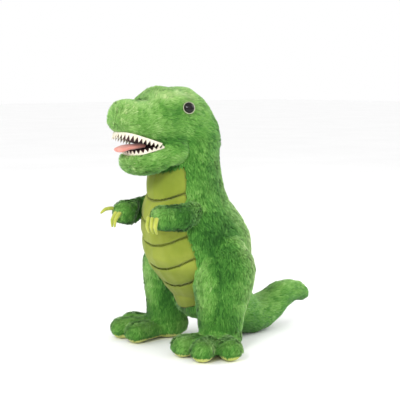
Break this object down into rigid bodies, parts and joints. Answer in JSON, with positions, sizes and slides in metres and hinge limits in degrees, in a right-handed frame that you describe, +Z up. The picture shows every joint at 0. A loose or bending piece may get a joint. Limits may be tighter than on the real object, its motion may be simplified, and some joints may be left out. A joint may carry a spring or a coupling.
{
  "type": "stuffed dinosaur",
  "caption": "Standing stuffed toy dinosaur of green fur fabric with a segmented belly, open mouth, felt teeth and claws, and a tail that it leans on.",
  "frame": {"origin": "on the floor under the middle of the toy's box", "axes": "+Z up, the toy faces -Y, its left side is +X"},
  "size_m": [0.223, 0.3277, 0.326],
  "materials": {
    "fur": "short fine pile, brushed",
    "belly": "smooth short velour",
    "sole": "smooth short velour",
    "claw": "felt",
    "tooth": "felt",
    "tongue": "felt",
    "mouth": "dark velour",
    "eye": "polished",
    "eye_ring": "polished",
    "washer": "moulded",
    "fibre": "loose polyester fibre",
    "bean_cloth": "plain woven cotton"
  },
  "bodies": {
    "torso": {"body_fur_left": "fur", "body_fur_right": "fur", "belly_panel_1": "belly", "belly_panel_2": "belly", "belly_panel_3": "belly", "belly_panel_4": "belly", "belly_panel_5": "belly", "belly_panel_6": "belly", "torso_bean_bag": "bean_cloth", "torso_stuffing": "fibre", "leg_fur_left": "fur", "foot_fur_left": "fur", "sole_left": "sole", "foot_bean_bag_left": "bean_cloth", "leg_stuffing_left": "fibre", "leg_fur_right": "fur", "foot_fur_right": "fur", "sole_right": "sole", "foot_bean_bag_right": "bean_cloth", "leg_stuffing_right": "fibre"},
    "arm_left": {"arm_fur_left": "fur", "arm_stuffing_left": "fibre", "claw_left_1": "claw", "claw_left_2": "claw", "claw_left_3": "claw"},
    "arm_right": {"arm_fur_right": "fur", "arm_stuffing_right": "fibre", "claw_right_1": "claw", "claw_right_2": "claw", "claw_right_3": "claw"},
    "tail": {"tail_fur_left": "fur", "tail_fur_right": "fur", "tail_stuffing": "fibre"},
    "head": {"head_fur_left": "fur", "head_fur_right": "fur", "head_stuffing": "fibre", "eye_left": "eye", "eye_ring_left": "eye_ring", "eye_washer_left": "washer", "eye_right": "eye", "eye_ring_right": "eye_ring", "eye_washer_right": "washer", "mouth_lining_upper": "mouth", "teeth_upper": "tooth"},
    "jaw": {"jaw_fur": "fur", "jaw_stuffing": "fibre", "mouth_lining_lower": "mouth", "teeth_lower": "tooth", "tongue": "tongue"}
  },
  "joints": [
    {"name": "neck_nod", "type": "hinge", "parent": "torso", "child": "head", "pos_m": [0, -0.0534, 0.228], "axis": [1, 0, 0], "range_deg": [-12, 12], "stiffness_Nm_per_rad": 1.5},
    {"name": "jaw_swing", "type": "hinge", "parent": "head", "child": "jaw", "pos_m": [0, -0.0924, 0.25], "axis": [1, 0, 0], "range_deg": [-2, 6], "stiffness_Nm_per_rad": 0.3},
    {"name": "shoulder_left", "type": "hinge", "parent": "torso", "child": "arm_left", "pos_m": [0.042, -0.0684, 0.173], "axis": [1, 0, 0], "range_deg": [-25, 25], "stiffness_Nm_per_rad": 0.15},
    {"name": "shoulder_right", "type": "hinge", "parent": "torso", "child": "arm_right", "pos_m": [-0.042, -0.0684, 0.173], "axis": [1, 0, 0], "range_deg": [-25, 25], "stiffness_Nm_per_rad": 0.15},
    {"name": "tail_wag", "type": "hinge", "parent": "torso", "child": "tail", "pos_m": [0, 0.0216, 0.045], "axis": [0, 0, 1], "range_deg": [-18, 18], "stiffness_Nm_per_rad": 0.4}
  ]
}
